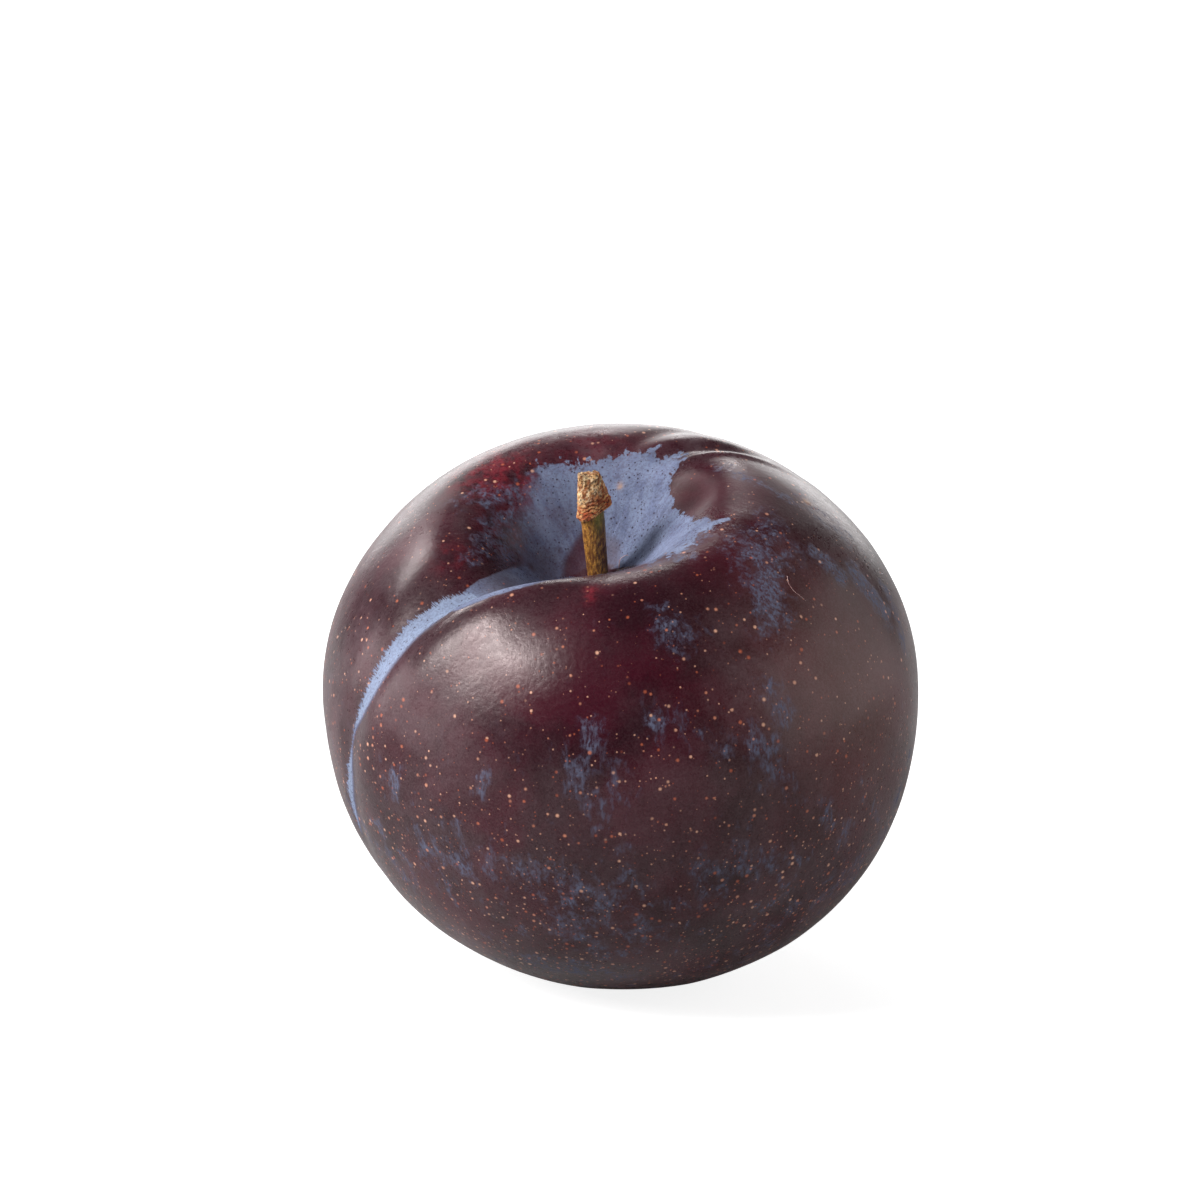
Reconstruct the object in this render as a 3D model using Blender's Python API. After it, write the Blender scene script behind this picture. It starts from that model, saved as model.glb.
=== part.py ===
"""A black plum with its stalk, as it rests on a small flat spot.

Metres, +Z up. The front is -Y. Azimuths are in degrees, counted from the front (-Y) towards the left (-X).
The fruit and the stalk are made round the fruit's own axis, which then leans a little towards the front.
"""

import math

import bmesh
import bpy
import numpy as np
from mathutils import Matrix, Vector

MM = 0.001

# The fruit's body, before the hollow and the seam are pressed in
WIDEST_RADIUS = 30.0 * MM
CROWN_HEIGHT = 24.7 * MM  # over the widest ring
CROWN_POWER = 2.0  # 2 is an ellipse, and more is squarer
FOOT_DEPTH = 29.3 * MM  # under the widest ring
FOOT_POWER = 2.29
CHEEKS = 0.017  # how much wider and narrower the fruit is than round
CHEEKS_AT = 138.0  # where it is widest
CHEEK_HANGS = 0.03  # how much the cheek behind the seam is fuller below and slimmer above
CHEEK_HANGS_AT = 100.0
CHEEK_HANGS_WIDTH = 22.0
LEAN_FRONT = 17.5  # degrees that the axis leans
LEAN_LEFT = 3.5
FLAT_RADIUS = 6.0 * MM  # of the spot that the fruit rests on

# The hollow that the stalk stands in
HOLLOW_DEPTH = 12.9 * MM
HOLLOW_RADIUS = 9.2 * MM
HOLLOW_LEFT = 1.25 * MM  # from the fruit's axis to the hollow's
SOCKET_RADIUS = 1.6 * MM
SOCKET_DEPTH = 2.2 * MM

# The seam, a valley that curls out of the hollow and thins to a groove on its way to the foot
SEAM_AZIMUTH = 65.0
SEAM_CURL = 105.0  # degrees that the valley would be turned to the front at the stalk
SEAM_FADES = 20.0  # degrees of polar angle over which the curl, depth and width die away
SEAM_DEPTH = 0.35 * MM
SEAM_DEEPENS = 18.0 * MM
SEAM_WIDTH = 1.3 * MM
SEAM_WIDENS = 9.0 * MM
STEEP_SIDE = 0.5  # the width on the side of the front cheek, as a share
GENTLE_SIDE = 1.6  # and on the side of the back cheek
SEAM_OPENS = (44.0, 62.0)  # polar angles between which the valley turns into a shallow groove
OPEN_SIDE = 0.9  # the groove's width on both sides, as a share
OPEN_SHALLOWS = 0.65  # how much of the valley's depth is gone by then
SEAM_STARTS = (6.0, 30.0)  # polar angles between which the valley gains its full depth
SEAM_ENDS = (88.0, 125.0)  # and between which its last depth runs out on the way to the foot
LIP_SWELL = 0.5 * MM  # the front cheek swells beside the seam
LIP_DISTANCE = 4.5 * MM
LIP_WIDTH = 2.4 * MM
LIP_ENDS = (50.0, 110.0)  # polar angles between which the swelling fades

# The pleats where the skin gathers behind the hollow
PLEATS = (  # azimuth, depth and width of two valleys, and of a sharp ridge that stands up
    (200.0, 0.45 * MM, 1.0 * MM),
    (221.0, 0.85 * MM, 1.15 * MM),
    (232.0, -0.22 * MM, 0.55 * MM),
)
PLEAT_TWIST = 34.0  # degrees that the pleats curl on their way out
PLEAT_RADIUS = 15.0 * MM  # from the axis to the middle of the pleats
PLEAT_REACH = 3.8 * MM

# The mesh of the fruit
AROUND = 84
ALONG = 46
CLOSER_AROUND = 0.4  # how much closer the mesh is at the seam and at the pleats
CLOSER_AT = 58.0
CLOSER_ALONG = 0.09  # and towards the hollow

# The stalk, from its foot up
STALK_LENGTH = 14.6 * MM
STALK_RADIUS = 1.02 * MM
STALK_LEAN = 0.8  # degrees to the left
STALK_SIDES = 22
END_PLAY = 0.3 * MM  # under the stalk in its socket
COLLAR_HEIGHT = 10.6 * MM
COLLAR_TILT = 0.8 * MM  # its right side is higher than the middle by this
COLLAR_STANDS_OUT = 0.22 * MM
KNOB_RADIUS = 1.5 * MM
KNOB_TIP_RADIUS = 1.0 * MM
WRINKLE_DEPTH = 0.07 * MM
WRINKLE_PITCH = 0.62 * MM
WRINKLES_REACH = 2.2 * MM  # over the collar
CROWNS = 0.2 * MM  # how far the broken tip rises at its left and right


def smooth_step(low, high, value):
    share = np.clip((value - low) / (high - low), 0.0, 1.0)
    return share * share * (3.0 - 2.0 * share)


def bell(distance, width):
    return np.exp(-0.5 * (distance / width) ** 2)


def turn_between(azimuth, other):
    """Degrees from other to azimuth, from -180 to 180."""
    return (azimuth - other + 180.0) % 360.0 - 180.0


def seam_azimuth(polar):
    return SEAM_AZIMUTH - SEAM_CURL * np.exp(-polar / SEAM_FADES)


def seam_height(azimuth, polar, ring):
    """The valley or groove of the seam, as a negative height, and the lip that swells in front of it."""
    fade = np.exp(-polar / SEAM_FADES)
    start = smooth_step(*SEAM_STARTS, polar)
    across = np.radians(turn_between(azimuth, seam_azimuth(polar))) * ring
    opened = smooth_step(*SEAM_OPENS, polar)
    side = np.where(across < 0.0, STEEP_SIDE, GENTLE_SIDE)
    side = side + (OPEN_SIDE - side) * opened
    valley = bell(across, (SEAM_WIDTH + SEAM_WIDENS * fade) * side)
    deep = SEAM_DEEPENS * fade * (1.0 - OPEN_SHALLOWS * opened)
    depth = (SEAM_DEPTH * (1.0 - smooth_step(*SEAM_ENDS, polar)) + deep) * start
    swell = LIP_SWELL * start * (1.0 - smooth_step(*LIP_ENDS, polar)) * bell(across + LIP_DISTANCE, LIP_WIDTH)
    return swell - depth * valley


def pleat_height(azimuth, ring):
    """The gathers of the skin behind the hollow, as a negative height."""
    height = np.zeros_like(azimuth)
    twist = PLEAT_TWIST * np.log(np.maximum(ring, MM) / PLEAT_RADIUS)
    for middle, depth, width in PLEATS:
        across = np.radians(turn_between(azimuth, middle + twist)) * ring
        height -= depth * bell(across, width)
    return height * bell(ring - PLEAT_RADIUS, PLEAT_REACH)


def skin(azimuth, polar):
    """Points of the skin round the fruit's own axis, from arrays of degrees. Polar is 0 at the stalk."""
    around, down = np.radians(azimuth), np.radians(polar)
    width = WIDEST_RADIUS * (1.0 + CHEEKS * np.cos(2.0 * np.radians(azimuth - CHEEKS_AT)))
    upper = polar < 90.0
    height = np.where(upper, CROWN_HEIGHT, FOOT_DEPTH)
    power = np.where(upper, CROWN_POWER, FOOT_POWER)
    reach = (np.abs(np.sin(down) / width) ** power + np.abs(np.cos(down) / height) ** power) ** (-1.0 / power)
    reach *= 1.0 - CHEEK_HANGS * np.cos(down) * bell(turn_between(azimuth, CHEEK_HANGS_AT), CHEEK_HANGS_WIDTH)
    ring, level = reach * np.sin(down), reach * np.cos(down)

    # Seam and pleats are sunk along the plain body's normal, and the hollow along the axis
    out, up = ring / width**2, level / height**2
    length = np.hypot(out, up)
    sunk = seam_height(azimuth, polar, ring) + pleat_height(azimuth, ring) * upper
    from_stalk = np.hypot(ring * np.sin(around) - HOLLOW_LEFT, ring * np.cos(around))
    hollow = HOLLOW_DEPTH * np.exp(-((from_stalk / HOLLOW_RADIUS) ** 2)) * upper
    ring = ring + sunk * out / length
    level = level + sunk * up / length - hollow
    return np.stack([-ring * np.sin(around), -ring * np.cos(around), level], axis=-1)


def mesh_angles(turn, share):
    """A mesh point's azimuth and polar angle: its lines follow the seam, closer where the skin bends."""
    polar = 180.0 * (share + CLOSER_ALONG * np.sin(2.0 * math.pi * share) * (share - 1.0))
    closer = 0.5 * CLOSER_AROUND * np.sin(2.0 * np.radians(turn - CLOSER_AT))
    on_seam_side = 0.5 + 0.5 * np.cos(np.radians(turn - SEAM_AZIMUTH))
    curl = (SEAM_AZIMUTH - seam_azimuth(polar)) * on_seam_side
    return turn - np.degrees(closer) - curl, polar


def new_object(name, mesh_maker, material, parent):
    mesh = bpy.data.meshes.new(name)
    mesh_maker.to_mesh(mesh)
    mesh_maker.free()
    mesh.materials.append(material)
    mesh.shade_smooth()
    made = bpy.data.objects.new(name, mesh)
    bpy.context.scene.collection.objects.link(made)
    made.parent = parent
    return made


def new_material(name, colour, roughness):
    material = bpy.data.materials.new(name)
    material.use_nodes = True
    shader = material.node_tree.nodes["Principled BSDF"]
    shader.inputs["Base Color"].default_value = (*colour, 1.0)
    shader.inputs["Roughness"].default_value = roughness
    shader.inputs["Metallic"].default_value = 0.0
    return material


def make_fruit(axis, lean):
    """The fruit, cut flat under its lowest point, and the middle of that flat spot in the axis's frame."""
    maker = bmesh.new()
    bmesh.ops.create_uvsphere(maker, u_segments=AROUND, v_segments=ALONG, radius=1.0)
    places = np.array([vertex.co for vertex in maker.verts])
    turn = np.degrees(np.arctan2(-places[:, 0], -places[:, 1]))
    share = np.degrees(np.arccos(np.clip(places[:, 2], -1.0, 1.0))) / 180.0
    for vertex, place in zip(maker.verts, skin(*mesh_angles(turn, share))):
        vertex.co = place

    # The lowest point of the leaning fruit, and the cut that leaves a flat spot of FLAT_RADIUS there
    down = lean.inverted() @ Vector((0.0, 0.0, -1.0))
    lowest = max(maker.verts, key=lambda vertex: vertex.co.dot(down))
    cut_depth = FLAT_RADIUS**2 / (2.0 * WIDEST_RADIUS)
    plane = down * (lowest.co.dot(down) - cut_depth)
    everything = maker.verts[:] + maker.edges[:] + maker.faces[:]
    cut = bmesh.ops.bisect_plane(maker, geom=everything, plane_co=plane, plane_no=down, clear_outer=True)
    edges = [part for part in cut["geom_cut"] if isinstance(part, bmesh.types.BMEdge)]
    rim = [part.co.copy() for part in cut["geom_cut"] if isinstance(part, bmesh.types.BMVert)]
    bmesh.ops.contextual_create(maker, geom=edges)
    bmesh.ops.recalc_face_normals(maker, faces=maker.faces)
    skin_colour = new_material("fruit_skin", (0.085, 0.018, 0.032), 0.35)
    fruit = new_object("fruit", maker, skin_colour, axis)
    return fruit, sum(rim, Vector()) / len(rim)


def socket_bottom():
    """The middle of the socket's bottom, round the fruit's own axis."""
    return Vector((-HOLLOW_LEFT, 0.0, CROWN_HEIGHT - HOLLOW_DEPTH - SOCKET_DEPTH))


def cut_socket(fruit, axis):
    """The plain round hole that the stalk's foot stands in."""
    maker = bmesh.new()
    height = 4.0 * SOCKET_DEPTH
    bmesh.ops.create_cone(
        maker,
        cap_ends=True,
        segments=STALK_SIDES,
        radius1=SOCKET_RADIUS,
        radius2=SOCKET_RADIUS,
        depth=height,
        matrix=Matrix.Translation(socket_bottom() + Vector((0.0, 0.0, height / 2.0))),
    )
    cutter = new_object("socket_cutter", maker, fruit.data.materials[0], axis)
    cutter.hide_render = True
    cutter.display_type = "WIRE"
    hole = fruit.modifiers.new("stalk_socket", "BOOLEAN")
    hole.operation = "DIFFERENCE"
    hole.object = cutter


def stalk_radius(height, around):
    """The stalk's radius at arrays of heights over its foot and of turns in radians from its right side."""
    above = height - COLLAR_HEIGHT - COLLAR_TILT * np.cos(around)
    knob_height = STALK_LENGTH - COLLAR_HEIGHT
    slender = STALK_RADIUS * (1.0 + 0.13 * smooth_step(2.0 * MM, COLLAR_HEIGHT, height))
    to_tip = smooth_step(0.25 * knob_height, 1.1 * knob_height, above)
    knob = KNOB_RADIUS + (KNOB_TIP_RADIUS - KNOB_RADIUS) * to_tip
    knob = knob * (1.0 + 0.05 * np.cos(3.0 * around + 0.6))
    wrinkles = WRINKLE_DEPTH * np.sin(2.0 * math.pi * above / WRINKLE_PITCH)
    wrinkles = wrinkles * (1.0 - smooth_step(0.6 * WRINKLES_REACH, WRINKLES_REACH, above))
    flare = COLLAR_STANDS_OUT * bell(above - 0.3 * MM, 0.4 * MM) * (1.0 + 0.4 * np.cos(4.0 * around + 1.0))
    return slender + (knob + wrinkles - slender) * smooth_step(-0.2 * MM, 0.2 * MM, above) + flare


def make_stalk(axis):
    """The slender stem with the woody knob at its end, as one piece."""
    collar_low, collar_high = COLLAR_HEIGHT - 1.2 * MM, COLLAR_HEIGHT + WRINKLES_REACH
    heights = np.concatenate(
        [
            np.linspace(0.0, collar_low, 7, endpoint=False),
            np.linspace(collar_low, collar_high, 15, endpoint=False),
            np.linspace(collar_high, STALK_LENGTH, 5),
        ]
    )
    around = np.linspace(0.0, 2.0 * math.pi, STALK_SIDES, endpoint=False)
    maker = bmesh.new()
    rings = []
    for height in heights:
        crown = CROWNS * np.cos(2.0 * around) * smooth_step(0.85 * STALK_LENGTH, STALK_LENGTH, height)
        radius = stalk_radius(height, around)
        to_left = math.tan(math.radians(STALK_LEAN)) * height
        right, back = radius * np.cos(around) - to_left, radius * np.sin(around)
        places = np.stack([right, back, height + crown], axis=-1)
        rings.append([maker.verts.new(place) for place in places])
    for lower, upper in zip(rings, rings[1:]):
        for i in range(STALK_SIDES):
            j = (i + 1) % STALK_SIDES
            maker.faces.new((lower[i], lower[j], upper[j], upper[i]))
    maker.faces.new(list(reversed(rings[0])))
    tip = maker.verts.new(sum((vertex.co for vertex in rings[-1]), Vector()) / STALK_SIDES)
    for i in range(STALK_SIDES):
        maker.faces.new((rings[-1][i], rings[-1][(i + 1) % STALK_SIDES], tip))
    bark = new_material("stalk_bark", (0.20, 0.105, 0.035), 0.75)
    stalk = new_object("stalk", maker, bark, axis)
    stalk.location = socket_bottom() + Vector((0.0, 0.0, END_PLAY))
    stalk.data.set_sharp_from_angle(angle=math.radians(50.0))


def main():
    for old in list(bpy.data.objects):
        bpy.data.objects.remove(old)
    to_front = Matrix.Rotation(math.radians(LEAN_FRONT), 4, "X")
    to_left = Matrix.Rotation(-math.radians(LEAN_LEFT), 4, "Y")
    lean = to_front @ to_left
    axis = bpy.data.objects.new("fruit_axis", None)
    bpy.context.scene.collection.objects.link(axis)
    fruit, flat_middle = make_fruit(axis, lean)
    cut_socket(fruit, axis)
    make_stalk(axis)

    # The origin is on the surface, in the middle of the flat spot
    axis.matrix_world = Matrix.Translation(-(lean @ flat_middle)) @ lean
    bpy.context.view_layer.update()


main()
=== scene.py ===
# %% [markdown]
# A black plum with its stalk. This lesson finishes the look of a fruit whose solids are already made: a fine
# skin with its bloom, dots and seam, a woody stalk, and a small studio round them.

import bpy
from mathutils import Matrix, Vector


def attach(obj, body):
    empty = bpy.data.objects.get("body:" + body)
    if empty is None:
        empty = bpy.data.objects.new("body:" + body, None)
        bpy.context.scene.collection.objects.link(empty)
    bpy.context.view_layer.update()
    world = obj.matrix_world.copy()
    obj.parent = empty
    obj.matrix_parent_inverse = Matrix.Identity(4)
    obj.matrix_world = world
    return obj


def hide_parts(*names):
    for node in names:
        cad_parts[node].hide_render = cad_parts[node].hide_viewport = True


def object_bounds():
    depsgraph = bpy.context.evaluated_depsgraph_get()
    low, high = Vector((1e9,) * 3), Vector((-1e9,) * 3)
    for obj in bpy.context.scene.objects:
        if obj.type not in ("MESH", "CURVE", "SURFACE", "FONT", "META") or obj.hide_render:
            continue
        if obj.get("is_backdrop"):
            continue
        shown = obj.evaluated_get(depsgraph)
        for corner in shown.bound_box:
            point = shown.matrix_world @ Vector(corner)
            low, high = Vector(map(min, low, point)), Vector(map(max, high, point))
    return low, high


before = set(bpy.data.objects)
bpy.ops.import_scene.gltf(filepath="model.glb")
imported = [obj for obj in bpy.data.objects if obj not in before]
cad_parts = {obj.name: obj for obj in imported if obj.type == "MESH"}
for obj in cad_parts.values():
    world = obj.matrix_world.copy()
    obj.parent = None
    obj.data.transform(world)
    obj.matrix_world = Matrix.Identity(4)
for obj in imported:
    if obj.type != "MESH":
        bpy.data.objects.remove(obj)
cad_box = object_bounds()
print("solids:", sorted(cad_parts))
print("their box in mm:", [[round(1000 * x, 2) for x in corner] for corner in cad_box])

# %% Tools and units
import math

import bpy
import numpy as np
from mathutils import Matrix, Vector, noise
from mathutils.bvhtree import BVHTree

MM = 0.001
scene = bpy.context.scene
chance = np.random.default_rng(7)


def smooth_step(low, high, value):
    share = np.clip((value - low) / (high - low), 0.0, 1.0)
    return share * share * (3.0 - 2.0 * share)


def bell(distance, width):
    return np.exp(-0.5 * (distance / width) ** 2)


def paint(red, green, blue):
    """A screen colour from 0 to 255, as the linear light that Blender mixes."""
    shares = [channel / 255.0 for channel in (red, green, blue)]
    return tuple(c / 12.92 if c <= 0.04045 else ((c + 0.055) / 1.055) ** 2.4 for c in shares)


# %% [markdown]
# The body of the fruit is a squashed ball: an ellipse above its widest ring and a fuller curve below it. It
# could be sculpted by hand, but a formula gives each point of the skin from its azimuth and its angle from
# the stalk, so the same shape can be made coarse for the solid and fine for the looks. These are the solid's
# values. Angles are in degrees, and azimuths start at the front and run towards the left.

# %% The fruit's body, hollow and seam
WIDEST_RADIUS = 30.0 * MM
CROWN_HEIGHT, CROWN_POWER = 24.7 * MM, 2.0
FOOT_DEPTH, FOOT_POWER = 29.3 * MM, 2.29
CHEEKS, CHEEKS_AT = 0.017, 138.0
CHEEK_HANGS, CHEEK_HANGS_AT, CHEEK_HANGS_WIDTH = 0.03, 100.0, 22.0
HOLLOW_DEPTH, HOLLOW_RADIUS, HOLLOW_LEFT = 12.9 * MM, 9.2 * MM, 1.25 * MM
SOCKET_RADIUS, SOCKET_DEPTH = 1.6 * MM, 2.2 * MM
SEAM_AZIMUTH, SEAM_CURL, SEAM_FADES = 65.0, 105.0, 20.0
SEAM_DEPTH, SEAM_DEEPENS = 0.35 * MM, 18.0 * MM
SEAM_WIDTH, SEAM_WIDENS = 1.3 * MM, 9.0 * MM
STEEP_SIDE, GENTLE_SIDE = 0.5, 1.6
SEAM_OPENS, OPEN_SIDE, OPEN_SHALLOWS = (44.0, 62.0), 0.9, 0.65
SEAM_STARTS, SEAM_ENDS = (6.0, 30.0), (88.0, 125.0)
LIP_SWELL, LIP_DISTANCE, LIP_WIDTH, LIP_ENDS = 0.5 * MM, 4.5 * MM, 2.4 * MM, (50.0, 110.0)
PLEATS = ((200.0, 0.45 * MM, 1.0 * MM), (221.0, 0.85 * MM, 1.15 * MM), (232.0, -0.22 * MM, 0.55 * MM))
PLEAT_TWIST, PLEAT_RADIUS, PLEAT_REACH = 34.0, 15.0 * MM, 3.8 * MM
LEAN_FRONT, LEAN_LEFT = 17.5, 3.5
RING_MIDDLE = Vector((0.466, 1.478, 29.394)) * MM  # where the middle of the widest ring stands

to_front = Matrix.Rotation(math.radians(LEAN_FRONT), 4, "X")
to_left = Matrix.Rotation(-math.radians(LEAN_LEFT), 4, "Y")
fruit_axis = Matrix.Translation(RING_MIDDLE) @ to_front @ to_left


def in_frame(places):
    """Points round the fruit's own axis, moved to where the fruit stands."""
    matrix = np.array(fruit_axis)
    return places @ matrix[:3, :3].T + matrix[:3, 3]


def turn_between(azimuth, other):
    return (azimuth - other + 180.0) % 360.0 - 180.0


def seam_azimuth(polar):
    return SEAM_AZIMUTH - SEAM_CURL * np.exp(-polar / SEAM_FADES)


def seam_height(azimuth, polar, ring):
    fade = np.exp(-polar / SEAM_FADES)
    start = smooth_step(*SEAM_STARTS, polar)
    across = np.radians(turn_between(azimuth, seam_azimuth(polar))) * ring
    opened = smooth_step(*SEAM_OPENS, polar)
    side = np.where(across < 0.0, STEEP_SIDE, GENTLE_SIDE)
    side = side + (OPEN_SIDE - side) * opened
    valley = bell(across, (SEAM_WIDTH + SEAM_WIDENS * fade) * side)
    deep = SEAM_DEEPENS * fade * (1.0 - OPEN_SHALLOWS * opened)
    depth = (SEAM_DEPTH * (1.0 - smooth_step(*SEAM_ENDS, polar)) + deep) * start
    swell = LIP_SWELL * start * (1.0 - smooth_step(*LIP_ENDS, polar)) * bell(across + LIP_DISTANCE, LIP_WIDTH)
    return swell - depth * valley


def pleat_height(azimuth, ring):
    height = np.zeros_like(azimuth)
    twist = PLEAT_TWIST * np.log(np.maximum(ring, MM) / PLEAT_RADIUS)
    for middle, depth, width in PLEATS:
        across = np.radians(turn_between(azimuth, middle + twist)) * ring
        height -= depth * bell(across, width)
    return height * bell(ring - PLEAT_RADIUS, PLEAT_REACH)


# %% [markdown]
# The fine skin uses the same formula with about 25 times as many triangles. Its mesh lines twist along the
# seam, so that the steep edge of the valley is drawn by whole lines and not by teeth. A Subdivision Surface
# on the coarse solid would round the seam away. Noise adds slow waves, as no real cheek is an even curve.

# %% Points of the skin
def skin(azimuth, polar):
    """Points of the skin round the fruit's own axis, and how far each is from the stalk's middle."""
    around, down = np.radians(azimuth), np.radians(polar)
    width = WIDEST_RADIUS * (1.0 + CHEEKS * np.cos(2.0 * np.radians(azimuth - CHEEKS_AT)))
    upper = polar < 90.0
    height = np.where(upper, CROWN_HEIGHT, FOOT_DEPTH)
    power = np.where(upper, CROWN_POWER, FOOT_POWER)
    reach = (np.abs(np.sin(down) / width) ** power + np.abs(np.cos(down) / height) ** power) ** (-1.0 / power)
    reach *= 1.0 - CHEEK_HANGS * np.cos(down) * bell(turn_between(azimuth, CHEEK_HANGS_AT), CHEEK_HANGS_WIDTH)
    ring, level = reach * np.sin(down), reach * np.cos(down)
    out, up = ring / width**2, level / height**2
    length = np.hypot(out, up)
    sunk = seam_height(azimuth, polar, ring) + pleat_height(azimuth, ring) * upper
    from_stalk = np.hypot(ring * np.sin(around) - HOLLOW_LEFT, ring * np.cos(around))
    hollow = HOLLOW_DEPTH * np.exp(-((from_stalk / HOLLOW_RADIUS) ** 2)) * upper
    pit = SOCKET_DEPTH * (1.0 - smooth_step(0.72 * SOCKET_RADIUS, SOCKET_RADIUS, from_stalk)) * upper
    ring = ring + sunk * out / length
    level = level + sunk * up / length - hollow - pit
    return np.stack([-ring * np.sin(around), -ring * np.cos(around), level], axis=-1), from_stalk


# %% The grid of the fine skin
AROUND, ALONG = 400, 240
CLOSER_AROUND, CLOSER_AT, CLOSER_ALONG = 0.4, 58.0, 0.09


def mesh_angles(turn, share):
    polar = 180.0 * (share + CLOSER_ALONG * np.sin(2.0 * math.pi * share) * (share - 1.0))
    closer = 0.5 * CLOSER_AROUND * np.sin(2.0 * np.radians(turn - CLOSER_AT))
    on_seam_side = 0.5 + 0.5 * np.cos(np.radians(turn - SEAM_AZIMUTH))
    curl = (SEAM_AZIMUTH - seam_azimuth(polar)) * on_seam_side
    return turn - np.degrees(closer) - curl, polar


turns = np.linspace(0.0, 360.0, AROUND, endpoint=False)
shares = np.linspace(0.0, 1.0, ALONG + 1)[1:-1]
grid_turns = np.concatenate([np.tile(turns, len(shares)), [0.0, 0.0]])
grid_shares = np.concatenate([np.repeat(shares, AROUND), [0.0, 1.0]])
azimuths, polars = mesh_angles(grid_turns, grid_shares)
axis_places, from_stalk = skin(azimuths, polars)
skin_places = in_frame(axis_places)
UNEVEN = ((6.5 * MM, 0.07 * MM), (2.2 * MM, 0.018 * MM))  # how long and how high the skin's slow waves are
outward = skin_places - np.array(RING_MIDDLE)
outward /= np.linalg.norm(outward, axis=1, keepdims=True)
for wave, height in UNEVEN:
    waves = np.array([noise.noise(place) for place in skin_places / wave])
    skin_places += outward * (height * waves)[:, None]
skin_places[:, 2] = np.maximum(skin_places[:, 2], 0.0)  # the flat spot that it rests on


def grid_faces(rows, columns):
    """Four-sided faces between the rings, and a fan of triangles at each pole."""
    faces = []
    top, bottom = rows * columns, rows * columns + 1
    for j in range(columns):
        k = (j + 1) % columns
        faces.append((top, k, j))
        for i in range(rows - 1):
            here, below = i * columns, (i + 1) * columns
            faces.append((here + j, here + k, below + k, below + j))
        faces.append((bottom, (rows - 1) * columns + j, (rows - 1) * columns + k))
    return faces


def new_piece(name, places, faces):
    mesh = bpy.data.meshes.new(name)
    mesh.from_pydata([tuple(place) for place in places], [], faces)
    mesh.shade_smooth()
    made = bpy.data.objects.new(name, mesh)
    scene.collection.objects.link(made)
    return made


skin_faces = grid_faces(len(shares), AROUND)
plum_skin = new_piece("plum_skin", skin_places, skin_faces)
print("skin:", len(skin_places), "points,", 2 * len(skin_faces), "triangles")
print("highest point in mm:", round(skin_places[:, 2].max() / MM, 2))

# %% [markdown]
# The camera stands where the photographer's did. The fruit's widest ring, its lean and the lip of its hollow
# fix that place: 17.5 degrees above the level and 354 mm away, with a long lens that keeps the fruit's sides
# nearly parallel. It comes early in the lesson, because marks on the skin are placed through it.

# %% The camera
FRAME_PIXELS = 1200.0
LENS_PIXELS = 3510.0  # the lens's focal length in pixels of the frame
SENSOR = 36.0
VIEW_ELEVATION, VIEW_DISTANCE = 17.5, 354.0 * MM
RING_PIXEL = (619.0, 681.4)  # where the middle of the widest ring is seen

tilt = math.radians(VIEW_ELEVATION)
ahead = Vector((0.0, math.cos(tilt), -math.sin(tilt)))
eye = RING_MIDDLE - ahead * VIEW_DISTANCE
sideways = (RING_PIXEL[0] - FRAME_PIXELS / 2) / LENS_PIXELS
downwards = (RING_PIXEL[1] - FRAME_PIXELS / 2) / LENS_PIXELS
level_right = Vector((1.0, 0.0, 0.0))
aim = (ahead - level_right * sideways + level_right.cross(ahead) * downwards).normalized()
view_right = aim.cross(Vector((0.0, 0.0, 1.0))).normalized()
view_up = view_right.cross(aim)

lens = bpy.data.cameras.new("camera")
lens.sensor_width = SENSOR
lens.lens = SENSOR * LENS_PIXELS / FRAME_PIXELS
camera = bpy.data.objects.new("camera", lens)
scene.collection.objects.link(camera)
camera.matrix_world = Matrix.Translation(eye) @ Matrix((view_right, view_up, -aim)).transposed().to_4x4()
scene.camera = camera
print("camera at", [round(1000 * x, 1) for x in eye], "mm, lens", round(lens.lens, 1), "mm")

# %% From a pixel to the skin, and back
skin_tree = BVHTree.FromPolygons([tuple(place) for place in skin_places], skin_faces)


def on_skin(pixel):
    """The point of the skin that the camera sees at a pixel."""
    right, down = (pixel[0] - FRAME_PIXELS / 2) / LENS_PIXELS, (pixel[1] - FRAME_PIXELS / 2) / LENS_PIXELS
    place = skin_tree.ray_cast(eye, aim + view_right * right - view_up * down)[0]
    return None if place is None else np.array(place)


def pixels_of(places):
    turned = (places - np.array(eye)) @ np.array([view_right, view_up, aim]).T
    return FRAME_PIXELS / 2 + LENS_PIXELS * turned[:, :2] * (1.0, -1.0) / turned[:, 2:]


skin_pixels = pixels_of(skin_places)
normals = np.array([vertex.normal for vertex in plum_skin.data.vertices])
to_eye = np.array(eye) - skin_places
faces_eye = (normals * to_eye).sum(axis=1) > 0.0

# %% [markdown]
# Bloom is the pale blue wax that a plum grows. It stays whole in the hollow and in the seam, where nothing
# rubs it, and survives elsewhere as smears. An image could carry it, but then it would blur close up. Here
# each point of the mesh holds a few numbers, such as its distance in millimetres from the edge of the whole
# bloom, and the material turns them into ragged or sharp edges with noise.

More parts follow.
